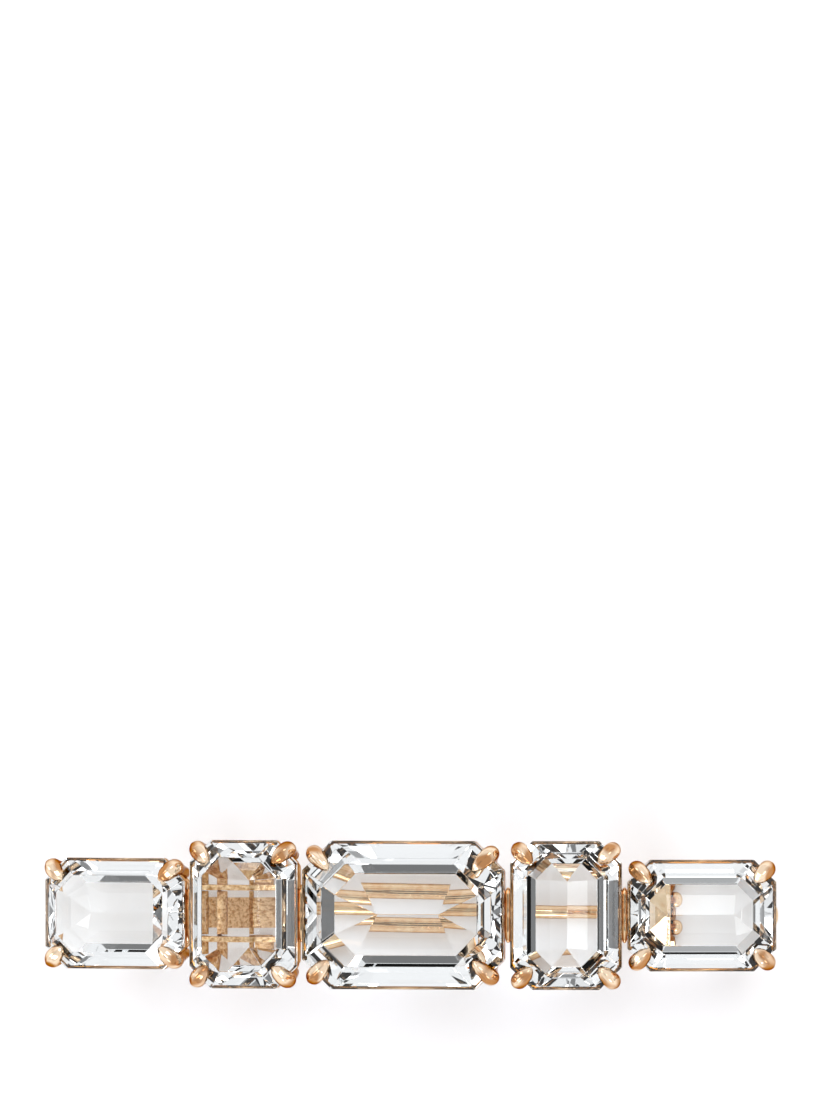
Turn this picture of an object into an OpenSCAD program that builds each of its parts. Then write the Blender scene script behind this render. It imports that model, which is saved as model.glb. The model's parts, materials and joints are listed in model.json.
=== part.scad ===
// Hair clip: a gently arched row of five step-cut crystals in open-backed claw settings,
// with a hinged clasp bar across the back that snaps into a sprung catch.
//
// Frame: X runs along the row, Y across it, and Z up through the crystals' tables.
// The clip stands on its back, so z = 0 is the surface under the hinge's and the catch's feet.

/* [Crystals] */
// Length of the centre crystal, along the row
centre_length = 22; // [18:0.5:26]
// Width of the centre crystal, across the row
centre_width = 16; // [14:0.5:19]
// Corner cut of the centre crystal
centre_corner = 3.2; // [2.8:0.1:3.8]
// Long side of the four smaller crystals
small_length = 16; // [13:0.5:19]
// Short side of the four smaller crystals
small_width = 12; // [10:0.5:14]
// Corner cut of the smaller crystals
small_corner = 2.4; // [2.2:0.1:2.9]
// Thickness of the girdle, the widest band of a crystal
girdle = 0.4; // [0.3:0.05:0.6]
// How far in the first crown step of a smaller crystal ends
crown_step_inset = 1.4; // [1.2:0.05:1.55]
// How high that first crown step rises
crown_step_rise = 1.2; // [0.9:0.05:1.35]
// How far in from the girdle the flat table of a smaller crystal starts
table_inset = 1.85; // [1.7:0.05:2.3]
// Height of the table above the girdle
crown_rise = 1.65; // [1.4:0.05:2.0]
// How far in the first pavilion step of a smaller crystal ends
pavilion_step_inset = 1; // [0.8:0.05:1.2]
// Depth of that first pavilion step
pavilion_step_depth = 1.25; // [1:0.05:1.5]
// How far in the second pavilion step ends
pavilion_ring_inset = 2.7; // [2.2:0.1:3.1]
// Depth of the second pavilion step
pavilion_ring_depth = 2.95; // [2.4:0.05:3.2]
// Share of the pavilion's insets that its two ends get, which makes them steeper than its sides
pavilion_end_share = 0.9; // [0.8:0.01:1]
// Slope of the broad facets that meet at the keel, in degrees
keel_slope = 24; // [18:1:26]
// Length of the centre crystal's keel
centre_keel = 6.6; // [5:0.2:9.4]
// Length of the smaller crystals' keel
small_keel = 7.2; // [6:0.2:8.4]
// Share of each inset by which the corner cut narrows
corner_narrowing = 0.25; // [0.1:0.05:0.4]

/* [Settings] */
// Depth of a smaller setting, from the seat under the girdle to its back
basket_depth = 4.8; // [4.6:0.1:5.8]
// Height of the gallery rails
rail_height = 0.9; // [0.75:0.05:1.1]
// Width of the gallery rails
rail_width = 0.75; // [0.65:0.05:0.9]
// How far the upper rail stands out past the girdle
rail_lip = 0.05; // [0.03:0.01:0.1]
// How far in from the girdle the lower rail starts
lower_rail_inset = 0.9; // [0.7:0.05:1.2]
// Radius of a claw where it bends over the girdle
claw_radius = 0.95; // [0.8:0.05:1.15]
// Radius of a claw at its foot
claw_foot_radius = 0.6; // [0.5:0.05:0.75]
// Radius of a claw at its tip
claw_tip_radius = 0.34; // [0.28:0.02:0.42]
// How far up the first crown step's corner a claw's tip reaches, as a share
claw_reach = 0.85; // [0.7:0.05:1.1]
// Gap between a crystal and the metal that holds it
seat_gap = 0.02; // [0.01:0.005:0.04]

/* [Row] */
// Radius of the arch that the row follows
arch_radius = 170; // [140:5:260]
// Gap between neighbouring settings at the seat
row_gap = 0.5; // [0.4:0.05:0.6]

/* [Clasp] */
// Outer radius of the hinge barrel
barrel_radius = 1.1; // [0.9:0.05:1.35]
// Length of the hinge barrel, across the row
barrel_length = 9; // [7.5:0.25:10.8]
// Radius of the hinge pin
pin_radius = 0.45; // [0.36:0.01:0.54]
// How far the barrel's axis hangs below the back of the settings
hinge_drop = 3.2; // [2.7:0.1:3.9]
// How far the hinge axis lies outboard of the second setting's middle
hinge_reach = 3.5; // [2.8:0.1:4]
// Thickness of the hinge cheeks
cheek_thickness = 0.6; // [0.5:0.05:0.8]
// Length of each outer knuckle of the hinge
knuckle_length = 2; // [1.5:0.1:2.4]
// How far the wire runs below the hinge axis
clasp_dip = 2.6; // [2.1:0.1:3.2]
// Width of the strap between the barrel and the wire
strap_width = 3.3; // [2.7:0.1:4]
// Thickness of the strap
strap_thickness = 0.8; // [0.6:0.05:1.0]
// Length of the strap, from the hinge axis to its free end
strap_length = 9.5; // [8:0.5:11.5]
// Radius of the clasp wire
wire_radius = 0.7; // [0.55:0.05:0.85]
// How far off the middle of the strap the wire is set, so that it leans towards one catch leg
wire_offset = 0.6; // [0.2:0.1:0.7]
// How far the wire's tip reaches past the catch
tip_reach = 1.8; // [1.4:0.1:4]
// Distance of the catch from the right end setting's middle
catch_reach = 4.4; // [3.6:0.1:5.4]
// Width of the catch plate, across the row
catch_plate_width = 5.8; // [4.8:0.1:7]
// Length of the catch legs, along the row
catch_length = 1.8; // [1.4:0.1:2.4]
// Thickness of the catch legs
leg_thickness = 0.45; // [0.35:0.05:0.6]

/* [Hidden] */
$fn = 48;
eps = 0.01;

// The five places in the row, by name suffix.
PLACES = ["left_end", "left", "centre", "right", "right_end"];

// A cut is [long side, short side, corner cut, keel length].
centre_cut = [centre_length, centre_width, centre_corner, centre_keel];
small_cut = [small_length, small_width, small_corner, small_keel];

// A crystal's steps and its setting's depth grow with its short side.
function size_of(cut) = cut[1] / small_width;

// Each place holds [cut, whether the crystal stands across the row].
row = [[small_cut, false], [small_cut, true], [centre_cut, false], [small_cut, true], [small_cut, false]];

// Half of a setting's length along the row, out to the upper rail.
function half_along(i) = (row[i][1] ? row[i][0][1] : row[i][0][0]) / 2 + rail_lip;

// Distance along the arch from the row's middle to the middle of place i.
second_at = half_along(2) + row_gap + half_along(1);
end_at = second_at + half_along(1) + row_gap + half_along(0);
along = [-end_at, -second_at, 0, second_at, end_at];
function lean(s) = s / arch_radius * 180 / PI;

// A point (x, z) of the setting at distance s along the arch, in the row's own X and Z.
function in_row_x(s, x, z) = arch_radius * sin(lean(s)) + x * cos(lean(s)) + z * sin(lean(s));
function in_row_z(s, x, z) =
  arch_radius * (cos(lean(s)) - 1) - x * sin(lean(s)) + z * cos(lean(s));

// Running clearances and the small sizes of the clasp.
pin_clearance = 0.05;
press_clearance = 0.01;
knuckle_gap = 0.15;
pin_head_radius = pin_radius + 0.3;
pin_head_height = 0.3;
cheek_height = 1.1;
foot_height = 0.4;
socket_lift = 0.25;
plate_thickness = 0.6;
socket_wall = 0.35;
socket_depth = 4;
neck_clearance = 0.04;
pocket_clearance = 0.2;
leg_flare = 0.45;
foot_width = 0.8;
seam_radius = 0.4;
seam_length = small_width / 2;
nub = [0.2, 2, 0.6];

// The wire's level and the hinge axis above it, which set how high the whole row stands.
socket_radius = wire_radius + socket_wall;
wire_z = socket_radius + socket_lift;
hinge_z = wire_z + clasp_dip;
hinge_x = in_row_x(along[1], -hinge_reach, -basket_depth - hinge_drop);
hinge_under_seat = in_row_z(along[1], -hinge_reach, -basket_depth - hinge_drop);
seat_z = hinge_z - hinge_under_seat;

// The catch stands under the inner side of the right end setting.
plate_start = lower_rail_inset - small_length / 2;
plate_end = 1.2 - catch_reach;
catch_x = in_row_x(along[4], -catch_reach, -basket_depth);
catch_top_z = seat_z + in_row_z(along[4], -catch_reach, -basket_depth);

// The wire, which starts inside the strap's socket.
wire_start_x = hinge_x + strap_length - socket_depth;
wire_slant = atan(wire_offset / (catch_x - wire_start_x));
wire_length = (catch_x + tip_reach - wire_start_x) / cos(wire_slant);

gold = "#e3b778";
matte_gold = "#d9b07a";
glass = [0.93, 0.95, 0.97, 0.45];

// ---------- Crystals ----------

// Eight points of a cut-cornered rectangle, taken in by inset on its sides and by a share of
// that at its ends. The corner cuts shorten by the narrowing share of the inset.
function outline(cut, inset, narrowing = corner_narrowing, end_share = 1) =
  let (
    a = cut[0] / 2 - inset * end_share,
    b = cut[1] / 2 - inset,
    k = cut[2] - inset * narrowing
  )
  [
    [a - k, -b], [a, -b + k], [a, b - k], [a - k, b],
    [-a + k, b], [-a, b - k], [-a, -b + k], [-a + k, -b]
  ];

// How far an inset takes the outline in across its corners.
function corner_inset(inset) = inset * (2 - corner_narrowing) / sqrt(2);

function ring(cut, inset, z, end_share = 1) =
  [for (p = outline(cut, inset, corner_narrowing, end_share)) [p[0], p[1], z]];

// A step-cut crystal with its girdle standing on z = 0.
// A positive grow makes a larger copy, for cutting seats.
module crystal_shape(cut, grow = 0) {
  s = size_of(cut);
  ring_inset = pavilion_ring_inset * s - grow;
  ring_z = -pavilion_ring_depth * s - grow;
  keel_z = ring_z - (cut[1] / 2 - ring_inset) * tan(keel_slope);
  rings = [
    ring(cut, ring_inset, ring_z, pavilion_end_share),
    ring(
      cut, pavilion_step_inset * s - grow, -pavilion_step_depth * s - grow, pavilion_end_share
    ),
    ring(cut, -grow, -grow),
    ring(cut, -grow, girdle + grow),
    ring(cut, crown_step_inset * s - grow, girdle + crown_step_rise * s + grow),
    ring(cut, table_inset * s - grow, girdle + crown_rise * s + grow)
  ];
  points = concat([for (r = rings) each r], [[-cut[3] / 2, 0, keel_z], [cut[3] / 2, 0, keel_z]]);
  last = len(rings) - 1;
  keel_left = 8 * len(rings);
  keel_right = keel_left + 1;
  steps = [
    for (r = [0:last - 1], i = [0:7])
      let (j = (i + 1) % 8) [8 * r + i, 8 * (r + 1) + i, 8 * (r + 1) + j, 8 * r + j]
  ];
  ends = concat(
    [for (i = [0:2]) [i, i + 1, keel_right]],
    [for (i = [4:6]) [i, i + 1, keel_left]]
  );
  sides = [[3, 4, keel_left, keel_right], [7, 0, keel_right, keel_left]];
  table = [[for (i = [7:-1:0]) 8 * last + i]];
  polyhedron(points = points, faces = concat(steps, ends, sides, table), convexity = 4);
}

// ---------- Settings ----------

// A bent wire keeps its width round the corners, which takes this share.
even_width = 2 - sqrt(2);

// A flat rail inside a cut's outline at an inset, from z = top down by the rail's height.
module rail_blank(cut, inset, top) {
  translate([0, 0, top - rail_height])
    linear_extrude(rail_height)
      difference() {
        polygon(outline(cut, inset, even_width));
        polygon(outline(cut, inset + rail_width, even_width));
      }
}

module upper_rail_blank(cut) {
  rail_blank(cut, -rail_lip, 0);
}

module lower_rail(cut) {
  s = size_of(cut);
  rail_blank(cut, lower_rail_inset * s, rail_height - basket_depth * s);
}

// The rail under the girdle, with a bevelled seat for the crystal.
module upper_rail(cut) {
  difference() {
    upper_rail_blank(cut);
    crystal_shape(cut, seat_gap);
  }
}

// Puts its children at the four cut corners, with local X pointing out along the diagonal.
module at_corners(cut) {
  for (sx = [-1, 1], sy = [-1, 1])
    translate([sx * (cut[0] - cut[2]) / 2, sy * (cut[1] - cut[2]) / 2, 0])
      rotate([0, 0, atan2(sy, sx)])
        children();
}

// A round bar between two points of the XZ plane, from radius r1 to r2.
module bar(from, to, r1, r2) {
  run = to - from;
  translate([from[0], 0, from[1]])
    rotate([0, atan2(run[0], run[1]), 0])
      cylinder(r1 = r1, r2 = r2, h = norm(run));
}

// One claw: it rises from the lower rail past the girdle, then bends in over the crown.
module claw(cut) {
  s = size_of(cut);
  foot = [
    0.3 * claw_foot_radius - lower_rail_inset * s,
    0.5 * claw_foot_radius - basket_depth * s
  ];
  knee = [0.5, girdle + 0.55];
  tip = [
    -claw_reach * corner_inset(crown_step_inset * s),
    girdle + claw_reach * crown_step_rise * s + 0.3
  ];
  bar(foot, knee, claw_foot_radius, claw_radius);
  translate([knee[0], 0, knee[1]]) sphere(r = claw_radius + eps);
  bar(knee, tip, claw_radius, claw_tip_radius);
  translate([tip[0], 0, tip[1]]) sphere(r = claw_tip_radius + eps);
}

// The four claws, dressed flush with the setting's sides and notched for the rails and the crystal.
module claw_set(cut) {
  difference() {
    intersection() {
      at_corners(cut) claw(cut);
      translate([0, 0, -cut[1]])
        linear_extrude(2 * cut[1])
          square([cut[0] + 2 * rail_lip, cut[1] + 2 * rail_lip + 1], center = true);
    }
    crystal_shape(cut, seat_gap);
    upper_rail_blank(cut);
    lower_rail(cut);
  }
}

// ---------- Row ----------

// Puts its children at a distance along the arch, leaning with it.
module on_arch(s) {
  translate([in_row_x(s, 0, 0), 0, seat_z + in_row_z(s, 0, 0)])
    rotate([0, lean(s), 0])
      children();
}

// Puts its children at place i, turned across the row where that crystal is.
module at_place(i) {
  on_arch(along[i])
    rotate([0, 0, row[i][1] ? 90 : 0])
      children();
}

// The lower edge of place i's upper rail on its side towards the next (1) or the last (-1) place.
function rail_edge(i, side) = [
  in_row_x(along[i], side * half_along(i), -rail_height),
  seat_z + in_row_z(along[i], side * half_along(i), -rail_height)
];

// A bead of braze in the groove under two neighbouring upper rails.
module seam(i) {
  middle = (rail_edge(i, 1) + rail_edge(i + 1, -1)) / 2;
  difference() {
    translate([middle[0], 0, middle[1]])
      rotate([90, 0, 0])
        cylinder(r = seam_radius, h = seam_length, center = true);
    at_place(i) upper_rail_blank(row[i][0]);
    at_place(i + 1) upper_rail_blank(row[i + 1][0]);
  }
}

module braze_seams() {
  color(gold)
    for (i = [0:3]) seam(i);
}

// The brazed lump where the right end setting's rail closes.
module rail_nub() {
  translate([half_along(4) - eps, -nub[1] / 2, -rail_height])
    cube([nub[0] + eps, nub[1], nub[2]]);
}

// ---------- Clasp ----------

// Puts its children on the hinge axis, with local Z along it towards +Y.
module on_hinge(y = 0) {
  translate([hinge_x, y, hinge_z])
    rotate([-90, 0, 0])
      children();
}

module hinge_bore(radius) {
  on_hinge() cylinder(r = radius, h = barrel_length + 2, center = true);
}

// One side of the bracket: a bar under the rails, a post down past the knuckle, and a flat foot.
module hinge_cheek(side) {
  knuckle_y = side * (barrel_length - knuckle_length) / 2;
  cheek_y = side * (barrel_length / 2 - knuckle_length + cheek_thickness / 2);
  post = 1.2 * barrel_radius;
  bar_end = small_width / 2 - lower_rail_inset;
  on_hinge(knuckle_y) cylinder(r = barrel_radius, h = knuckle_length, center = true);
  translate([hinge_x - post / 2, cheek_y - cheek_thickness / 2, 0])
    cube([post, cheek_thickness, hinge_z]);
  translate([hinge_x - post / 2, knuckle_y - knuckle_length / 2, 0])
    cube([post, knuckle_length, foot_height]);
  on_arch(along[1]) {
    translate([-bar_end, cheek_y - cheek_thickness / 2, -basket_depth - cheek_height])
      cube([2 * bar_end, cheek_thickness, cheek_height]);
    translate([-hinge_reach - post / 2, cheek_y - cheek_thickness / 2, -basket_depth - hinge_drop])
      cube([post, cheek_thickness, hinge_drop]);
  }
}

// Two cheeks brazed under the second setting, each ending in a knuckle of the hinge.
module hinge_bracket() {
  color(matte_gold)
    difference() {
      for (side = [-1, 1]) hinge_cheek(side);
      hinge_bore(pin_radius + press_clearance);
    }
}

// The pin through the knuckles, with a peened head at each end.
module hinge_pin() {
  color(gold)
    on_hinge() {
      cylinder(r = pin_radius, h = barrel_length + pin_head_height, center = true);
      for (side = [-1, 1])
        translate([0, 0, side * (barrel_length + pin_head_height) / 2])
          cylinder(r = pin_head_radius, h = pin_head_height, center = true);
    }
}

// Puts its children on the wire's axis, with local Z along it from its start.
module along_wire() {
  translate([wire_start_x, wire_offset, wire_z])
    rotate([0, 0, -wire_slant])
      rotate([0, 90, 0])
        children();
}

// The strap's section along the row: it slopes down from the hinge axis, then runs level.
module strap_section() {
  half = strap_thickness / 2;
  level_x = strap_length - socket_depth - 0.5;
  polygon([
    [0, -half], [level_x, -clasp_dip - half], [strap_length, -clasp_dip - half],
    [strap_length, half - clasp_dip], [level_x, half - clasp_dip], [0, half]
  ]);
}

// The strap with its middle knuckle, which turns on the pin, and the socket that grips the wire.
module clasp_strap() {
  middle_length = barrel_length - 2 * (knuckle_length + knuckle_gap);
  color(matte_gold)
    difference() {
      union() {
        on_hinge() cylinder(r = barrel_radius, h = middle_length, center = true);
        translate([hinge_x, strap_width / 2, hinge_z])
          rotate([90, 0, 0])
            linear_extrude(strap_width) strap_section();
        along_wire()
          translate([0, 0, -0.5]) cylinder(r = socket_radius, h = socket_depth + 1.5);
      }
      hinge_bore(pin_radius + pin_clearance);
      along_wire() cylinder(r = wire_radius + press_clearance, h = wire_length);
    }
}

// Half of the wire's lengthwise section: straight, then rounded over at the tip.
function wire_profile() = concat(
  [[0, 0], [wire_radius, 0]],
  [for (a = [0:15:90]) [wire_radius * cos(a), wire_length - wire_radius + wire_radius * sin(a)]]
);

// The wire that holds the hair, from the strap through the catch to a free tip.
module clasp_wire() {
  color(gold)
    along_wire()
      rotate_extrude()
        polygon(wire_profile());
}

// The plate brazed under the right end setting, which carries the catch legs.
module catch_plate() {
  color(gold)
    on_arch(along[4])
      translate([plate_start, -catch_plate_width / 2, -basket_depth - plate_thickness])
        cube([plate_end - plate_start, catch_plate_width, plate_thickness]);
}

// One leg's section across the row: a pocket beside the wire, a neck under it and a turned-out foot.
module catch_leg_section(top) {
  pocket = wire_radius + pocket_clearance;
  neck = wire_radius + neck_clearance;
  neck_z = wire_z - 0.75 * wire_radius;
  polygon([
    [pocket, top], [pocket, wire_z + 0.3], [neck, neck_z], [neck + leg_flare, 0],
    [neck + leg_flare + foot_width, 0], [neck + leg_flare + foot_width, 0.25],
    [neck + leg_thickness, neck_z + 0.1], [pocket + leg_thickness, wire_z + 0.3],
    [pocket + leg_thickness, top]
  ]);
}

// The sprung legs that the wire snaps between, trimmed to sit under the leaning plate.
module catch_legs() {
  color(gold)
    difference() {
      translate([catch_x - catch_length / 2, 0, 0])
        for (side = [0, 1])
          mirror([0, side, 0])
            rotate([90, 0, 90])
              linear_extrude(catch_length)
                catch_leg_section(catch_top_z + 1);
      on_arch(along[4])
        translate([-small_length / 2, -small_width / 2, -basket_depth - plate_thickness])
          cube([small_length, small_width, 6]);
    }
}

// ---------- Nodes ----------

module crystal(i) {
  color(glass) at_place(i) crystal_shape(row[i][0]);
}

module upper_rail_node(i) {
  color(gold) {
    at_place(i) upper_rail(row[i][0]);
    if (i == 4) on_arch(along[4]) rail_nub();
  }
}

module lower_rail_node(i) {
  color(gold) at_place(i) lower_rail(row[i][0]);
}

module claws_node(i) {
  color(gold) at_place(i) claw_set(row[i][0]);
}

for (i = [0:4]) {
  crystal(i);
  upper_rail_node(i);
  lower_rail_node(i);
  claws_node(i);
}
braze_seams();
hinge_bracket();
hinge_pin();
clasp_strap();
clasp_wire();
catch_plate();
catch_legs();
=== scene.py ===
# %% [markdown]
# A hair clip: five step-cut crystals in open-backed gold settings, set side by side on a gentle
# arch, with a hinged wire clasp behind them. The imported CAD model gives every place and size.
# Each visible piece is a surface worked out with numpy in millimetres, then made in metres.

# %% Load the frame
import json
import math

import bpy
import numpy as np
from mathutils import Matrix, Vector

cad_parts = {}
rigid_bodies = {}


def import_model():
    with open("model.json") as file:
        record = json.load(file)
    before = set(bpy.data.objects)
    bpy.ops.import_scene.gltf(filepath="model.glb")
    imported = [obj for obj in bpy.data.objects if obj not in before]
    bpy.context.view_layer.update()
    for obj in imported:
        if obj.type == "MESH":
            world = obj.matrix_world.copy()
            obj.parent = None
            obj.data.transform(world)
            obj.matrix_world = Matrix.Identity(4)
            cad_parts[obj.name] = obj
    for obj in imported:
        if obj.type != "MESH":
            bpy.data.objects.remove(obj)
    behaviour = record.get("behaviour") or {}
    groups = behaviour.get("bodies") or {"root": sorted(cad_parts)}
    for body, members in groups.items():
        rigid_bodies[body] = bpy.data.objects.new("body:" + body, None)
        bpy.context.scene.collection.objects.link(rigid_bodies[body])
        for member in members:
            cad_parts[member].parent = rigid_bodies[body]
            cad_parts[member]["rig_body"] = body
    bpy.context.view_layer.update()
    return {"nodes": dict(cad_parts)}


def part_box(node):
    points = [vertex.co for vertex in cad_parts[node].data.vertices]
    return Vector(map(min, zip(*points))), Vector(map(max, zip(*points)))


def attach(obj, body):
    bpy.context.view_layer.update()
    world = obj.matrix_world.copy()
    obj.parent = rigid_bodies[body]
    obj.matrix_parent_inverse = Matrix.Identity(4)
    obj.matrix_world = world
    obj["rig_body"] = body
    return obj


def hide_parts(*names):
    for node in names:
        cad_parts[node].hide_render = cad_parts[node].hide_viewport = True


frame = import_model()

MM = 0.001

# %% [markdown]
# The clip is laid out on an arch. A setting is drawn once, level and centred under its crystal
# with z = 0 at the girdle's seat, and then carried to its place: turned across the row where the
# crystal stands that way, leaned with the arch, and lifted to the seat's height. The driving sizes
# are the standard sizes of such stones; the heights and the clasp's places are read off the frame.

# %% Driving sizes of the row, in mm
ARCH_RADIUS = 170
RAIL_LIP = 0.05
ROW_GAP = 0.5
GIRDLE = 0.4
# Each cut is (long side, short side, corner cut, keel length).
CENTRE_CUT = (22, 16, 3.2, 6.6)
SMALL_CUT = (16, 12, 2.4, 7.2)
# Each place is (name, cut, whether the crystal stands across the row).
ROW = [
    ("left_end", SMALL_CUT, False),
    ("left", SMALL_CUT, True),
    ("centre", CENTRE_CUT, False),
    ("right", SMALL_CUT, True),
    ("right_end", SMALL_CUT, False),
]


def cad(node):
    """The CAD node's lowest and highest corners, in mm."""
    return np.array(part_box(node)) / MM


half_along = [cut[1 if across else 0] / 2 + RAIL_LIP for _, cut, across in ROW]
second = half_along[2] + ROW_GAP + half_along[1]
end = second + half_along[1] + ROW_GAP + half_along[0]
along = np.array([-end, -second, 0, second, end])
SEAT_Z = cad("upper_rail_centre")[1][2]
print("places along the arch, mm:", along, "seat height:", round(SEAT_Z, 3))

# %% Carrying a setting to its place


def on_arch(points, distance):
    """Leans points by distance / radius about Y and moves them that far along the arch."""
    lean = distance / ARCH_RADIUS
    x, y, z = np.moveaxis(points, -1, 0)
    return np.stack(
        [
            ARCH_RADIUS * np.sin(lean) + x * np.cos(lean) + z * np.sin(lean),
            y,
            SEAT_Z + ARCH_RADIUS * (np.cos(lean) - 1) - x * np.sin(lean) + z * np.cos(lean),
        ],
        axis=-1,
    )


def at_place(points, i):
    """Puts a setting's points at place i, a quarter turn round where its crystal stands across."""
    if ROW[i][2]:
        points = np.stack([-points[..., 1], points[..., 0], points[..., 2]], axis=-1)
    return on_arch(points, along[i])


# %% [markdown]
# A material is built from a few shader nodes. One small function adds a node with its settings
# and links, and another turns an sRGB hex colour to the linear values that shaders work in.

# %% Helpers for materials


def linear(hex_colour, alpha=1.0):
    """An sRGB hex colour as linear RGBA: each channel through the sRGB curve."""
    s = np.array([int(hex_colour[i : i + 2], 16) for i in (1, 3, 5)]) / 255
    rgb = np.where(s <= 0.04045, s / 12.92, ((s + 0.055) / 1.055) ** 2.4)
    return (*rgb, alpha)


def add(tree, kind, links=None, **settings):
    """Adds a node to the tree. settings are its properties, or its inputs by name with _ for
    spaces, and links maps an input to the output socket that feeds it."""
    node = tree.nodes.new(kind)
    for key, value in settings.items():
        if hasattr(node, key):
            setattr(node, key, value)
        else:
            node.inputs[key.replace("_", " ")].default_value = value
    for key, socket in (links or {}).items():
        tree.links.new(socket, node.inputs[key])
    return node


def new_material(name):
    """An empty material and its node tree."""
    material = bpy.data.materials.new(name)
    material.use_nodes = True
    material.node_tree.nodes.clear()
    return material, material.node_tree


def gold_plate(name, colour, hollow_shade, roughness, grain_mm, grain_height_mm, strength, detail=3.0):
    """Gold over brass: a metal whose bump is noise with grains of that size in mm. The darker
    colour given for the hollows is painted shade, laid down between the grains where the bump dips,
    and detail adds finer grains on them."""
    material, tree = new_material(name)
    place = add(tree, "ShaderNodeTexCoord")
    grain = add(
        tree, "ShaderNodeTexNoise", {"Vector": place.outputs["Object"]},
        Scale=1 / (grain_mm * MM), Detail=detail, Roughness=0.6,
    )
    bump = add(
        tree, "ShaderNodeBump", {"Height": grain.outputs["Fac"]},
        Distance=grain_height_mm * MM, Strength=strength,
    )
    # Painted shade: the colour darkens towards the darker one where the noise, and so the bump,
    # dips.
    tone = add(tree, "ShaderNodeValToRGB", {"Fac": grain.outputs["Fac"]})
    for element, at, shade in zip(tone.color_ramp.elements, (0.38, 0.56), (hollow_shade, colour)):
        element.position, element.color = at, linear(shade)
    metal = add(
        tree, "ShaderNodeBsdfPrincipled",
        {"Normal": bump.outputs["Normal"], "Base Color": tone.outputs["Color"]},
        Metallic=1.0, Roughness=roughness, Specular_Tint=linear(EDGE_TINT),
    )
    add(tree, "ShaderNodeOutputMaterial", {"Surface": metal.outputs["BSDF"]})
    return material


# %% [markdown]
# Lead crystal is glass with a high refractive index, ground and polished flat. Its colour is
# almost nothing: what the eye reads is what its facets bend and mirror. The facets are real
# geometry, so a plain smooth glass shader does the work. Rays from the lamps pass straight
# through, which stands for the light that such a stone gathers onto what lies under it.

# %% Material: crystal


def lead_crystal():
    """Polished lead crystal, IOR about 1.54, that lets lamps light what is behind it."""
    material, tree = new_material("lead crystal, ground and polished")
    glass = add(
        tree, "ShaderNodeBsdfPrincipled",
        Base_Color=linear("#F9FCFC"), Roughness=0.0, IOR=1.54, Transmission_Weight=1.0,
    )
    clear = add(tree, "ShaderNodeBsdfTransparent", Color=linear("#E9EFF8"))
    path = add(tree, "ShaderNodeLightPath")
    mix = add(tree, "ShaderNodeMixShader", {0: path.outputs["Is Shadow Ray"]})
    tree.links.new(glass.outputs["BSDF"], mix.inputs[1])
    tree.links.new(clear.outputs["BSDF"], mix.inputs[2])
    add(tree, "ShaderNodeOutputMaterial", {"Surface": mix.outputs["Shader"]})
    return material


CRYSTAL = lead_crystal()

# %% [markdown]
# The settings are brass, plated with a pale, slightly pink gold and tumbled to a mirror polish.
# Tumbling leaves soft undulations about a millimetre across, which make the highlights wander.
# The claws are filed and burnished by hand, so theirs are broader and deeper. The clasp's barrel
# and strap are plated over a blasted surface instead: grains of a few tenths of a millimetre
# scatter the light, so they look sandy. Each finish also has painted shade: its colour turns
# darker and browner down in the bump's dips, faintly on the polish, between the blasted grains,
# and in deep brown patches on the claws, which also stand in for dark surroundings the polish
# would mirror, so they are painted reflection too.

# %% Materials: gold
EDGE_TINT = "#A8733F"  # browner at glancing angles, in place of the dark room a polish mirrors
# The second colour of each finish is painted shade, laid into the dips of its bump.
POLISHED_GOLD = gold_plate(
    "pale gold plate, tumbled to a polish", "#F1D3AE", "#E8C096", 0.06, 1.1, 0.05, 0.35
)
# The claws' deep brown patches are painted shade and painted reflection of dark surroundings.
CLAW_GOLD = gold_plate(
    "pale gold plate, filed and burnished", "#F8E0C2", "#BE8A5C", 0.05, 1.7, 0.4, 0.9, detail=0
)
SATIN_GOLD = gold_plate("pale gold plate, blasted", "#F3CFA0", "#BC8850", 0.3, 0.3, 0.14, 1.0)
print("materials:", [m.name for m in (CRYSTAL, POLISHED_GOLD, CLAW_GOLD, SATIN_GOLD)])

# %% [markdown]
# Every shape below ends as points and faces. A grid of points, wrapped into a tube or a ring,
# gives most of the metal. The helper that makes a piece also says which CAD node it stands for,
# which body it rides on and which finish it takes, and measures it against that node's box.

# %% Helpers for meshes
node_body = {n: o["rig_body"] for n, o in frame["nodes"].items()}


def grid_quads(rows, columns, ring_rows=False, ring_columns=True):
    """Quads of a grid of rows x columns points, wrapping round where asked."""
    r = np.arange(rows if ring_rows else rows - 1)
    c = np.arange(columns if ring_columns else columns - 1)
    r, c = [a.ravel() for a in np.meshgrid(r, c, indexing="ij")]
    r2, c2 = (r + 1) % rows, (c + 1) % columns
    return np.stack([r * columns + c, r * columns + c2, r2 * columns + c2, r2 * columns + c], 1)


def tube(points):
    """A closed tube from an array of rings (stations, round, 3), with a point at each end."""
    stations, around, _ = points.shape
    total = stations * around
    quads = grid_quads(stations, around)
    ends = points[[0, -1]].mean(axis=1)
    c = np.arange(around)
    c2 = (c + 1) % around
    low = np.stack([np.full(around, total), c2, c], 1)
    top = total - around
    high = np.stack([np.full(around, total + 1), top + c, top + c2], 1)
    return np.vstack([points.reshape(-1, 3), ends]), [quads, low, high]


def join(parts):
    """Several (points, faces) shells as one."""
    points, faces, start = [], [], 0
    for p, f in parts:
        points.append(p)
        faces += [block + start for block in f]
        start += len(p)
    return np.vstack(points), faces


def make_mesh(name, points, faces):
    """A mesh object in metres from points in mm and blocks of equal-sided faces."""
    mesh = bpy.data.meshes.new(name)
    rows = [row for block in faces for row in np.asarray(block).tolist()]
    mesh.from_pydata((points * MM).tolist(), [], rows)
    mesh.validate()
    obj = bpy.data.objects.new(name, mesh)
    bpy.context.scene.collection.objects.link(obj)
    return obj


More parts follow.
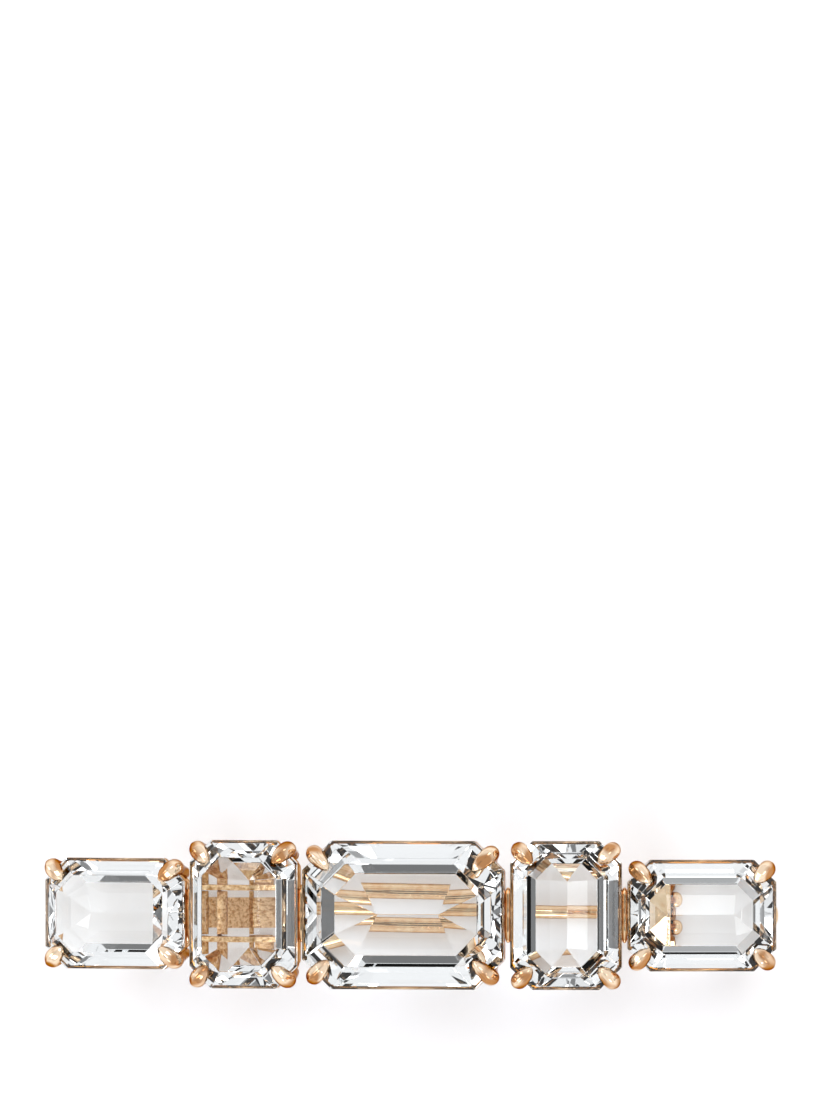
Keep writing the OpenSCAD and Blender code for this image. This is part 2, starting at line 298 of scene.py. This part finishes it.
def make_piece(name, node, shape, material, smooth=True, bevel=None):
    """A finished piece that stands for a CAD node: its mesh, material, edge bevel and body."""
    obj = make_mesh(name, *shape)
    obj.data.materials.append(material)
    if smooth:
        obj.data.shade_smooth()
    if bevel:
        edge = obj.modifiers.new("edge", "BEVEL")
        edge.width, edge.segments = bevel[0] * MM, bevel[1]
        edge.limit_method, edge.angle_limit = "ANGLE", math.radians(bevel[2])
        edge.harden_normals = smooth
    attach(obj, node_body[node])
    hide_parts(node)
    box = np.array([shape[0].min(axis=0), shape[0].max(axis=0)])
    off = np.abs(box - cad(node)).max()
    print(f"{name}: {len(obj.data.polygons)} faces, box within {off:.2f} mm of the CAD's")
    return obj


# %% [markdown]
# A step cut is a stack of cut-cornered rectangles. Neighbouring outlines have parallel edges,
# so each facet between two of them is flat. Below the girdle two steep steps lead to four broad
# facets that meet in a keel, like a hipped roof; above it two steps lead to the table.

# %% The step cut
CROWN = [(1.4, 1.2), (1.85, 1.65)]  # inset and rise of each step of a 12 mm wide cut
PAVILION = [(1.0, 1.25), (2.7, 2.95)]  # inset and depth of each step of a 12 mm wide cut
END_SHARE = 0.9  # the pavilion's ends get this share of each inset, so they are steeper
KEEL_SLOPE = math.radians(24)
CORNER_NARROWING = 0.25


def size_of(cut):
    """Steps grow with the cut's short side."""
    return cut[1] / SMALL_CUT[1]


def outline(cut, inset, narrowing=CORNER_NARROWING, end_share=1):
    """Eight corners, anticlockwise, of the cut's rectangle taken in by inset on its sides and by
    a share of it at its ends. The corner cuts shorten by the narrowing share of the inset."""
    a, b = cut[0] / 2 - inset * end_share, cut[1] / 2 - inset
    k = cut[2] - inset * narrowing
    x = [a - k, a, a, a - k, k - a, -a, -a, k - a]
    y = [-b, k - b, b - k, b, b, b - k, k - b, -b]
    return np.stack([x, y], axis=-1)


def crystal_shape(cut):
    """Outlines stacked from the lowest pavilion ring to the table, plus the keel's two ends."""
    s = size_of(cut)
    (step1, depth1), (step2, depth2) = PAVILION
    (rise1_in, rise1), (table_in, table) = CROWN
    levels = [
        (step2 * s, -depth2 * s), (step1 * s, -depth1 * s), (0, 0), (0, GIRDLE),
        (rise1_in * s, GIRDLE + rise1 * s), (table_in * s, GIRDLE + table * s),
    ]
    rings = [
        np.column_stack([
            outline(cut, i, CORNER_NARROWING, END_SHARE if z < 0 else 1), np.full(8, z),
        ]) for i, z in levels
    ]
    keel_z = -depth2 * s - (cut[1] / 2 - step2 * s) * math.tan(KEEL_SLOPE)
    keel = np.array([[-cut[3] / 2, 0, keel_z], [cut[3] / 2, 0, keel_z]])
    points = np.vstack(rings + [keel])
    left, right = len(points) - 2, len(points) - 1
    i = np.arange(3)
    hips = np.vstack([
        np.stack([i + 1, i, np.full(3, right)], 1),
        np.stack([i + 5, i + 4, np.full(3, left)], 1),
    ])
    broad = np.array([[4, 3, right, left], [0, 7, left, right]])
    table_face = np.arange(len(levels) * 8 - 8, len(levels) * 8)[None]
    return points, [grid_quads(len(levels), 8), hips, broad, table_face]


for i, (place, cut, across) in enumerate(ROW):
    points, faces = crystal_shape(cut)
    make_piece(
        f"step_cut_crystal_{place}", f"crystal_{place}", (at_place(points, i), faces),
        CRYSTAL, smooth=False, bevel=(0.03, 1, 5),
    )

# %% [markdown]
# Metal that holds a stone follows the stone. The cut is convex, so a point is inside it when it
# lies behind every facet's plane; such a point is moved straight out of its nearest facet. That
# presses a rail's seat and a claw's grip onto the crystal as a setter's tools do.

# %% Pressing metal onto a crystal
SEAT_GAP = 0.02


def facet_planes(cut):
    """Unit normals and distances of every facet's plane: n.p = d."""
    points, faces = crystal_shape(cut)
    a, b, c = np.vstack([np.asarray(f)[:, :3] for f in faces]).T
    n = np.cross(points[b] - points[a], points[c] - points[a])
    n /= np.linalg.norm(n, axis=1, keepdims=True)
    return n, (n * points[a]).sum(axis=1)


def press(points, cut):
    """Moves each point that is inside the cut out of its nearest facet, plus the seat gap."""
    n, d = facet_planes(cut)
    height = points @ n.T - d - SEAT_GAP
    nearest, depth = height.argmax(axis=-1), height.max(axis=-1)
    return points - np.minimum(depth, 0)[..., None] * n[nearest]


# %% [markdown]
# The gallery rails are square wire with its edges rounded, bent round the stone and brazed shut.
# The section is a rounded square carried round the cut-cornered outline. Each corner of the
# outline is an arc, and the upper rail is then pressed by the crystal to give it its seat.

# %% Rails
RAIL_WIDTH, RAIL_HEIGHT = 0.75, 0.9
RAIL_BEND_RADIUS, RAIL_EDGE_RADIUS = 0.5, 0.2
BASKET_DEPTH = 4.8
LOWER_INSET = 0.9
EVEN_WIDTH = 2 - math.sqrt(2)  # a bent wire keeps its width round the corners
# The lump of braze where the right end's rail was closed: half length, width, height and centre.
LUMP_LENGTH, LUMP_OUT, LUMP_UP, LUMP_SINK, LUMP_Z = 1.0, 0.32, 0.3, 0.12, -0.5


def rounded_square(width, height, radius, steps=6):
    """Corners as quarter arcs, anticlockwise, about (0, 0)."""
    angle = np.radians(np.linspace(0, 90, steps))
    corner = np.arange(4)[:, None] * np.pi / 2 + angle
    sx = np.array([1, -1, -1, 1])[:, None] * (width / 2 - radius)
    sy = np.array([1, 1, -1, -1])[:, None] * (height / 2 - radius)
    return np.stack([sx + radius * np.cos(corner), sy + radius * np.sin(corner)], -1).reshape(-1, 2)


def soft_outline(cut, inset, radius, steps=5):
    """The outline with each corner as an arc of that radius, and each point's mitre direction."""
    corners = outline(cut, inset, EVEN_WIDTH)
    ahead = np.roll(corners, -1, axis=0) - corners
    ahead /= np.linalg.norm(ahead, axis=1, keepdims=True)
    behind = np.roll(ahead, 1, axis=0)
    back = radius * math.tan(math.radians(22.5))
    out_before = np.stack([behind[:, 1], -behind[:, 0]], -1)
    centre = corners - behind * back - out_before * radius
    turn = np.arctan2(out_before[:, 1], out_before[:, 0])[:, None]
    angle = turn + np.radians(np.linspace(0, 45, steps))
    out = np.stack([np.cos(angle), np.sin(angle)], -1)
    return (centre[:, None] + radius * out).reshape(-1, 2), out.reshape(-1, 2)


def rail(cut, inset, top, seated=False):
    """The rounded square carried round the outline, from z = top down, pressed on the stone if
    it is seated there."""
    path, out = soft_outline(cut, inset, RAIL_BEND_RADIUS)
    section = rounded_square(RAIL_WIDTH, RAIL_HEIGHT, RAIL_EDGE_RADIUS)
    across = section[:, 0] - RAIL_WIDTH / 2
    points = np.empty((len(path), len(section), 3))
    points[..., :2] = path[:, None] + out[:, None] * across[None, :, None]
    points[..., 2] = top - RAIL_HEIGHT / 2 + section[:, 1]
    if seated:
        points = press(points, cut)
    quads = grid_quads(len(path), len(section), ring_rows=True)
    return points.reshape(-1, 3), [quads]


for i, (place, cut, across) in enumerate(ROW):
    s = size_of(cut)
    points, faces = rail(cut, 0, 0, seated=True)  # flush with the girdle
    shells = [(at_place(points, i), faces)]
    if i == 4:
        angle = np.linspace(0, 2 * np.pi, 24, endpoint=False)
        t = np.linspace(-1, 1, 15)[:, None]
        bulge = np.sqrt(np.clip(1 - t**2, 0.02, 1))
        lump = np.stack([
            half_along[4] - LUMP_SINK + LUMP_OUT * bulge * np.cos(angle),
            LUMP_LENGTH * t + 0 * angle,
            LUMP_Z + LUMP_UP * bulge * np.sin(angle),
        ], -1)
        points, faces = tube(lump)
        shells.append((on_arch(points, along[4]), faces))
    make_piece(f"seat_rail_{place}", f"upper_rail_{place}", join(shells), POLISHED_GOLD)
    points, faces = rail(cut, LOWER_INSET * s, RAIL_HEIGHT - BASKET_DEPTH * s)
    make_piece(
        f"base_rail_{place}", f"lower_rail_{place}", (at_place(points, i), faces), POLISHED_GOLD
    )

# %% [markdown]
# Each claw is a stout wire that rises from the lower rail, swells where it bends over the
# girdle, and was filed to a ridge and drawn down to a point on the stone's corner. Its centre
# line is two straight runs joined by a curve, its radius changes along the way, and its section
# is a circle that rises to a ridge on the outer side.

# %% Claws
CLAW_FOOT = 0.6
CLAW_REACH = 0.85  # how far up the first crown step's corner the tip reaches, as a share
# The radius along the claw: shares of its length, and the radius there in mm.
CLAW_T = [0, 0.3, 0.5, 0.6, 0.78, 0.9, 0.97, 1]
CLAW_R = [CLAW_FOOT, 0.72, 0.94, 1.0, 0.86, 0.58, 0.3, 0.05]
CLAW_STATIONS, CLAW_ROUND = 72, 40


def corner_inset(inset):
    """How far an inset takes the outline in across its corners."""
    return inset * (2 - CORNER_NARROWING) / math.sqrt(2)


def claw_path(cut):
    """Points (out, up) in the corner's own plane: foot to bend to tip, rounded at the bend."""
    s = size_of(cut)
    foot = np.array([0.3 * CLAW_FOOT - LOWER_INSET * s, -BASKET_DEPTH * s + 0.05])
    bend = np.array([0.5, GIRDLE + 0.55])
    tip = np.array([
        -CLAW_REACH * corner_inset(CROWN[0][0] * s) - 0.2,
        GIRDLE + CLAW_REACH * CROWN[0][1] * s + 0.3,
    ])
    down, over = bend - foot, tip - bend
    reach = 1.0
    start = bend - down / np.linalg.norm(down) * reach
    finish = bend + over / np.linalg.norm(over) * reach
    t = np.linspace(0, 1, CLAW_STATIONS)[:, None]
    low = foot + (start - foot) * np.clip(t / 0.4, 0, 1)
    u = np.clip((t - 0.4) / 0.25, 0, 1)
    curve = (1 - u) ** 2 * start + 2 * u * (1 - u) * bend + u**2 * finish
    high = finish + (tip - finish) * np.clip((t - 0.65) / 0.35, 0, 1)
    return np.where(t < 0.4, low, np.where(t < 0.65, curve, high)), t[:, 0]


def claw(cut):
    """A ridged section carried along the claw's path, in the corner's own frame (out, side, up)."""
    path, t = claw_path(cut)
    way = np.gradient(path, axis=0)
    way /= np.linalg.norm(way, axis=1, keepdims=True)
    face = np.stack([way[:, 1], -way[:, 0]], -1)
    radius = np.interp(t, CLAW_T, CLAW_R)
    radius = radius * np.sqrt(np.clip((t + 0.004) / 0.02, 0.05, 1))
    angle = np.linspace(0, 2 * np.pi, CLAW_ROUND, endpoint=False)
    wrapped = np.angle(np.exp(1j * angle))
    filed = np.clip((t - 0.45) / 0.2, 0, 1)[:, None]
    ridge = 1 + filed * (0.24 * np.exp(-((wrapped / 0.26) ** 2)) - 0.1)
    r = radius[:, None] * ridge
    out = path[:, None] + (r * np.cos(angle))[..., None] * face[:, None]
    side = r * np.sin(angle)
    return np.stack([out[..., 0], side, out[..., 1]], -1)


def claws(cut):
    """The claw put at the four cut corners, turned to the diagonal and pressed on the stone."""
    one = claw(cut)
    shells = []
    for sx, sy in ((1, 1), (-1, 1), (-1, -1), (1, -1)):
        turn = math.atan2(sy, sx)
        x = one[..., 0] * math.cos(turn) - one[..., 1] * math.sin(turn) + sx * (cut[0] - cut[2]) / 2
        y = one[..., 0] * math.sin(turn) + one[..., 1] * math.cos(turn) + sy * (cut[1] - cut[2]) / 2
        shells.append(tube(press(np.stack([x, y, one[..., 2]], -1), cut)))
    return join(shells)


for i, (place, cut, across) in enumerate(ROW):
    points, faces = claws(cut)
    make_piece(f"claws_{place}", f"claws_{place}", (at_place(points, i), faces), CLAW_GOLD)

# %% [markdown]
# Neighbouring settings are joined by a bead of braze in the groove under their upper rails. A
# bead draws into the groove and thins towards its ends, so its section shrinks there.

# %% Braze seams
SEAM_RADIUS, SEAM_LENGTH = 0.4, SMALL_CUT[1] / 2


def seam():
    """A tube along Y whose radius falls as an ellipse at its ends, with slow ripples."""
    t = np.linspace(-1, 1, 60)[:, None]
    angle = np.linspace(0, 2 * np.pi, 24, endpoint=False)
    r = SEAM_RADIUS * np.clip(1 - np.abs(t) ** 6, 0.003, 1) ** 0.5 * (1 + 0.05 * np.sin(9 * t))
    return np.stack([r * np.sin(angle), SEAM_LENGTH / 2 * t + 0 * angle, r * np.cos(angle)], -1)


def rail_edge(i, side):
    """The lower edge of place i's upper rail, on its side towards the next or the last place."""
    return on_arch(np.array([side * half_along[i], 0, -RAIL_HEIGHT]), along[i])


beads = [tube(seam() + (rail_edge(i, 1) + rail_edge(i + 1, -1)) / 2) for i in range(4)]
make_piece("braze_beads", "braze_seams", join(beads), POLISHED_GOLD)

# %% [markdown]
# The clasp is bent and pierced sheet. Each part is an outline pushed through its thickness, and
# a small bevel rounds its edges as tumbling does. Round parts are profiles turned about an axis.

# %% Helpers for sheet and turned parts


def arc(centre, radius, start, stop, steps=24):
    """Points on a circle from one angle to another, in degrees."""
    a = np.radians(np.linspace(start, stop, steps))
    return np.stack([centre[0] + radius * np.cos(a), centre[1] + radius * np.sin(a)], -1)


def pushed(outline_points, low, high, plane):
    """An outline pushed from low to high along the axis that its plane lacks: "xz" or "yz"."""
    n = len(outline_points)
    depth = np.repeat([low, high], n)
    flat = np.vstack([outline_points, outline_points])
    if plane == "xz":
        points = np.stack([flat[:, 0], depth, flat[:, 1]], -1)
    else:
        points = np.stack([depth, flat[:, 0], flat[:, 1]], -1)
    walls = grid_quads(2, n)
    ends = [np.arange(n)[None, ::-1], np.arange(n, 2 * n)[None]]
    if plane == "xz":
        return points, [walls[:, ::-1], ends[0][:, ::-1], ends[1][:, ::-1]]
    return points, [walls] + ends


def turned(profile, steps=64):
    """Rings of radius r at height h for a profile of (r, h), round local Z, closed at both ends."""
    angle = np.linspace(0, 2 * np.pi, steps, endpoint=False)
    r, h = profile[:, :1], profile[:, 1:]
    return np.stack([r * np.cos(angle), r * np.sin(angle), h + 0 * angle], -1)


hinge_low, hinge_high = cad("hinge_pin")
HINGE_X, _, HINGE_Z = (hinge_low + hinge_high) / 2
catch_low, catch_high = cad("catch_legs")
CATCH_X = (catch_low[0] + catch_high[0]) / 2
print("hinge axis at", round(HINGE_X, 2), round(HINGE_Z, 2), "catch at", round(CATCH_X, 2))

# %% [markdown]
# The hinge bracket is two cheeks brazed under the second setting. Each has a bar under the
# rails, a post down past the knuckle, and a foot turned out to stand on.

# %% Hinge bracket
BARREL_RADIUS, BARREL_LENGTH = 1.1, 9
KNUCKLE_LENGTH, KNUCKLE_GAP = 2, 0.15
CHEEK_THICKNESS, CHEEK_HEIGHT = 0.6, 1.1
HINGE_DROP, HINGE_REACH = 3.2, 3.5
FOOT_HEIGHT, FOOT_BEND_RADIUS = 0.4, 0.3
BAR_CORNER_RADIUS, POST_CORNER_RADIUS = 0.4, 1.2
POST = 1.2 * BARREL_RADIUS


def ring_of(outer, inner, length, y, seam_angle=None):
    """A tube along Y, or a rolled one with a slit at an angle, as rings of its section."""
    r = 0.08
    section = rounded_square(outer - inner, length, r)
    section = section + [(outer + inner) / 2, 0]
    slit = 0 if seam_angle is None else math.radians(6)
    steps = 72
    start = 0 if seam_angle is None else math.radians(seam_angle)
    angle = start + np.linspace(slit, 2 * np.pi - slit, steps, endpoint=seam_angle is not None)
    radius, side = section[:, 0], section[:, 1]
    points = np.stack([
        HINGE_X + radius * np.cos(angle)[:, None],
        y + side + 0 * angle[:, None],
        HINGE_Z + radius * np.sin(angle)[:, None],
    ], -1)
    if seam_angle is not None:
        return tube(points)
    return points.reshape(-1, 3), [grid_quads(steps, len(section), ring_rows=True)]


def cheek(side):
    """The bar and post in one outline pushed through the sheet, the knuckle's ring and the foot."""
    top, bottom = -BASKET_DEPTH, -BASKET_DEPTH - HINGE_DROP
    x0, x1, x2 = -HINGE_REACH - POST / 2, -HINGE_REACH + POST / 2, SMALL_CUT[1] / 2 - LOWER_INSET
    under = top - CHEEK_HEIGHT
    small, large = BAR_CORNER_RADIUS, POST_CORNER_RADIUS
    l_shape = np.vstack([
        [(-x2, top)], arc((small - x2, under + small), small, 180, 270, 8),
        [(x0 - 0.3, under), (x0, under - 0.3), (x0, bottom), (x1, bottom)],
        arc((x1 + large, under - large), large, 180, 90, 12),
        arc((x2 - small, under + small), small, -90, 0, 8), [(x2, top)],
    ])
    y0 = BARREL_LENGTH / 2 - KNUCKLE_LENGTH
    low, high = sorted([side * y0, side * (y0 + CHEEK_THICKNESS)])
    points, faces = pushed(l_shape, low, high, "xz")
    parts = [(on_arch(points, along[1]), faces)]
    parts.append(ring_of(BARREL_RADIUS, 0.46, KNUCKLE_LENGTH, side * (y0 + KNUCKLE_LENGTH / 2)))
    y1, y2, knee = y0 + CHEEK_THICKNESS, y0 + KNUCKLE_LENGTH, FOOT_BEND_RADIUS
    foot = np.vstack([
        [(y0, HINGE_Z - 0.5)], arc((y0 + knee, knee), knee, 180, 270, 8),
        [(y2, 0), (y2, FOOT_HEIGHT)],
        arc((y1 + knee, FOOT_HEIGHT + knee), knee, 270, 180, 8), [(y1, HINGE_Z - 0.5)],
    ]) * [side, 1]
    if side < 0:
        foot = foot[::-1]
    parts.append(pushed(foot, HINGE_X - POST / 2, HINGE_X + POST / 2, "yz"))
    return join(parts)


make_piece(
    "hinge_cheeks", "hinge_bracket", join([cheek(-1), cheek(1)]), SATIN_GOLD, bevel=(0.07, 3, 40)
)

# %% [markdown]
# The hinge pin is a rivet: a plain shank with both ends peened over into low domes.

# %% Hinge pin
PIN_RADIUS, HEAD_RADIUS, HEAD_HEIGHT = 0.45, 0.75, 0.3


def pin_profile():
    """Half a section: dome, shank, dome, with the domes as flattened quarter ellipses."""
    half = BARREL_LENGTH / 2
    t = np.radians(np.linspace(2, 90, 16))
    dome = np.stack([HEAD_RADIUS * np.sin(t), half + HEAD_HEIGHT * np.cos(t)], -1)
    top = np.vstack([dome, [(HEAD_RADIUS, half + 0.01), (PIN_RADIUS, half)]])
    return np.vstack([top * [1, -1], top[::-1]])


rings = turned(pin_profile(), 48)
rings = np.stack([HINGE_X + rings[..., 0], rings[..., 2], HINGE_Z - rings[..., 1]], -1)
make_piece("hinge_rivet", "hinge_pin", tube(rings), POLISHED_GOLD, bevel=None)

# %% [markdown]
# The strap is a strip of sheet whose end is rolled round the pin. It slopes down and then runs
# level, to leave room for the hair. Its free end carries a socket, with the clasp wire brazed into
# it. The wire is drawn round and polished, and its tip is rounded so that it finds the catch.

# %% Strap and wire
STRAP_WIDTH, STRAP_THICKNESS, STRAP_LENGTH = 3.3, 0.8, 9.5
WIRE_RADIUS, SOCKET_WALL, SOCKET_DEPTH = 0.7, 0.35, 4
WIRE_OFFSET, TIP_REACH = 0.6, 1.8
PIN_CLEARANCE = 0.05
CLASP_DIP = 2.6  # how far the wire runs below the hinge axis
WIRE_Z = HINGE_Z - CLASP_DIP
wire_start = np.array([HINGE_X + STRAP_LENGTH - SOCKET_DEPTH, WIRE_OFFSET, WIRE_Z])
wire_slant = math.atan(WIRE_OFFSET / (CATCH_X - wire_start[0]))
wire_length = (CATCH_X + TIP_REACH - wire_start[0]) / math.cos(wire_slant)


def along_wire(points):
    """Lays local Z along the wire's slanted axis, from its start."""
    x, y, z = np.moveaxis(points, -1, 0)
    c, s = math.cos(wire_slant), math.sin(wire_slant)
    return wire_start + np.stack([z * c + y * s, y * c - z * s, -x], -1)


def strip_section():
    """The sheet's section: its middle line falls evenly to the wire's level and then runs level,
    and the bend between them is a parabola."""
    level, blend = STRAP_LENGTH - SOCKET_DEPTH - 0.5, 0.8
    fall = CLASP_DIP / level
    x = np.linspace(0.7, STRAP_LENGTH, 80)
    bend = fall * (level + blend - x) ** 2 / (4 * blend) - CLASP_DIP
    z = np.where(x < level - blend, -fall * x, np.where(x < level + blend, bend, -CLASP_DIP))
    middle = np.stack([HINGE_X + x, HINGE_Z + z], -1)
    half = [0, STRAP_THICKNESS / 2]
    return np.vstack([middle - half, (middle + half)[::-1]])


def strap():
    """The rolled knuckle, the flat strip and the wire's socket."""
    middle = BARREL_LENGTH - 2 * (KNUCKLE_LENGTH + KNUCKLE_GAP)
    roll = ring_of(BARREL_RADIUS, PIN_RADIUS + PIN_CLEARANCE, middle, 0, seam_angle=-62)
    flat = pushed(strip_section(), -STRAP_WIDTH / 2, STRAP_WIDTH / 2, "xz")
    outer = WIRE_RADIUS + SOCKET_WALL
    profile = np.array([
        (0.25, -0.5), (outer - 0.25, -0.5), (outer - 0.08, -0.45), (outer, -0.3),
        (outer, SOCKET_DEPTH + 0.8), (outer - 0.05, SOCKET_DEPTH + 0.93),
        (outer - 0.15, SOCKET_DEPTH + 1), (WIRE_RADIUS + 0.02, SOCKET_DEPTH + 1),
        (WIRE_RADIUS + 0.01, SOCKET_DEPTH + 0.5),
    ])
    socket = tube(along_wire(turned(profile, 48)))
    return join([roll, flat, socket])


make_piece("strap_rolled", "clasp_strap", strap(), SATIN_GOLD, bevel=(0.1, 3, 40))

tip = np.radians(np.linspace(0, 88, 24))
tip_start = wire_length - WIRE_RADIUS
profile = np.vstack([
    [(WIRE_RADIUS * 0.9, 0), (WIRE_RADIUS, 0.1)],
    np.stack([np.full(40, WIRE_RADIUS), np.linspace(0.2, tip_start - 0.05, 40)], -1),
    np.stack([WIRE_RADIUS * np.cos(tip), tip_start + WIRE_RADIUS * np.sin(tip)], -1),
])
make_piece("clasp_wire_drawn", "clasp_wire", tube(along_wire(turned(profile, 64))), POLISHED_GOLD)

# %% [markdown]
# The catch is a plate brazed under the right end setting, with two legs of spring sheet. Each
# leg runs down beside the wire, pinches in below it to a neck, and turns out at the foot.

# %% Catch
CATCH_REACH, CATCH_PLATE_WIDTH, PLATE_THICKNESS = 4.4, 5.8, 0.6
CATCH_LENGTH, LEG_THICKNESS = 1.8, 0.45
POCKET, NECK = WIRE_RADIUS + 0.2, WIRE_RADIUS + 0.04
LEG_FLARE, FOOT_WIDTH = 0.45, 0.8

x0, x1 = LOWER_INSET - SMALL_CUT[0] / 2, 1.2 - CATCH_REACH
z0, z1 = -BASKET_DEPTH - PLATE_THICKNESS, -BASKET_DEPTH
plate = pushed(np.array([(x0, z0), (x1, z0), (x1, z1), (x0, z1)]),
               -CATCH_PLATE_WIDTH / 2, CATCH_PLATE_WIDTH / 2, "xz")
make_piece("catch_base", "catch_plate", (on_arch(plate[0], along[4]), plate[1]), POLISHED_GOLD,
           bevel=(0.15, 4, 40))


def leg(side):
    """The leg's outline from its top, down the inner face, out along the foot and back up."""
    top = catch_high[2]
    neck_z = WIRE_Z - 0.75 * WIRE_RADIUS
    outline_points = np.array([
        (POCKET, top), (POCKET, WIRE_Z + 0.3), (NECK, neck_z), (NECK + LEG_FLARE, 0),
        (NECK + LEG_FLARE + FOOT_WIDTH, 0), (NECK + LEG_FLARE + FOOT_WIDTH, 0.25),
        (NECK + LEG_THICKNESS, neck_z + 0.1), (POCKET + LEG_THICKNESS, WIRE_Z + 0.3),
        (POCKET + LEG_THICKNESS, top),
    ]) * [side, 1]
    if side > 0:
        outline_points = outline_points[::-1]
    return pushed(outline_points, CATCH_X - CATCH_LENGTH / 2, CATCH_X + CATCH_LENGTH / 2, "yz")


make_piece(
    "catch_prongs", "catch_legs", join([leg(-1), leg(1)]), POLISHED_GOLD, bevel=(0.08, 3, 25)
)

# %% [markdown]
# The clip lies on a plain white table under soft light. Polished gold and clear crystal only
# show what surrounds them, so the light is bright all round, but for the dark gap between two
# long ceiling panels: it gives the steep facets their greys and the gold its brown depths. Three
# large softboxes, high up on the right, the left and the front, add highlights and faint shadows.

# %% Table, light and camera
floor = make_mesh(
    "table", np.array([(-900, -900, 0), (900, -900, 0), (900, 900, 0), (-900, 900, 0)], float),
    [np.array([[0, 1, 2, 3]])],
)
paper, tree = new_material("white paper, matt")
matt = add(tree, "ShaderNodeBsdfPrincipled", Base_Color=linear("#F4F4F5"), Roughness=0.9)
add(tree, "ShaderNodeOutputMaterial", {"Surface": matt.outputs["BSDF"]})
floor.data.materials.append(paper)

world = bpy.data.worlds.new("studio")
bpy.context.scene.world = world
world.use_nodes = True
world.node_tree.nodes.clear()
place = add(world.node_tree, "ShaderNodeTexCoord")
# The gap is an ellipse of directions, longer along the row.
GAP_LEAN, GAP_HALF_LENGTH, GAP_HALF_WIDTH = -0.2, 0.56, 0.16
scaled = add(
    world.node_tree, "ShaderNodeVectorMath", {0: place.outputs["Generated"]},
    operation="MULTIPLY_ADD",
)
scaled.inputs[1].default_value = (1 / GAP_HALF_LENGTH, 1 / GAP_HALF_WIDTH, 0)
scaled.inputs[2].default_value = (-GAP_LEAN / GAP_HALF_LENGTH, 0, 0)
away = add(
    world.node_tree, "ShaderNodeVectorMath", {0: scaled.outputs["Vector"]}, operation="LENGTH"
)
ramp = add(world.node_tree, "ShaderNodeValToRGB", {"Fac": away.outputs["Value"]})
stops = [(0.0, 0.2), (0.7, 0.24), (1.0, 1.0)]
while len(ramp.color_ramp.elements) < len(stops):
    ramp.color_ramp.elements.new(0.5)
for element, (at, level) in zip(ramp.color_ramp.elements, stops):
    element.position, element.color = at, (level * 0.98, level * 0.98, level, 1)
sky = add(world.node_tree, "ShaderNodeBackground", {"Color": ramp.outputs["Color"]}, Strength=0.95)
add(world.node_tree, "ShaderNodeOutputWorld", {"Surface": sky.outputs["Background"]})


def softbox(name, centre_mm, size_mm, watts):
    """A square area light that points at the clip."""
    data = bpy.data.lights.new(name, "AREA")
    data.shape, data.size, data.energy = "SQUARE", size_mm * MM, watts
    lamp = bpy.data.objects.new(name, data)
    bpy.context.scene.collection.objects.link(lamp)
    lamp.location = np.array(centre_mm) * MM
    lamp.rotation_euler = (-lamp.location).to_track_quat("-Z", "Y").to_euler()
    return lamp


softbox("key_softbox", (350, 300, 520), 300, 1.1)
softbox("left_softbox", (-480, 140, 330), 300, 0.9)
softbox("front_softbox", (60, -520, 360), 300, 0.9)

FRAME_HEIGHT = 118.4  # what the camera's frame covers at the clip from top to bottom, in mm
BELOW_MIDDLE = 39.3  # how far the clip lies below the middle of that frame, in mm
CAMERA_ANGLE = math.radians(9)  # the camera stands this far over to the clip's right
CAMERA_DISTANCE = 1600
data = bpy.data.cameras.new("camera")
data.sensor_fit, data.sensor_height = "VERTICAL", 36
data.lens = data.sensor_height * CAMERA_DISTANCE / FRAME_HEIGHT
data.clip_end = 20
camera = bpy.data.objects.new("camera", data)
bpy.context.scene.collection.objects.link(camera)
aim = np.array([1.0, BELOW_MIDDLE, SEAT_Z])
back = np.array([math.sin(CAMERA_ANGLE), 0, math.cos(CAMERA_ANGLE)])
camera.location = (aim + back * CAMERA_DISTANCE) * MM
camera.rotation_euler = (0, CAMERA_ANGLE, 0)
bpy.context.scene.camera = camera
bpy.context.scene.view_settings.view_transform = "Standard"
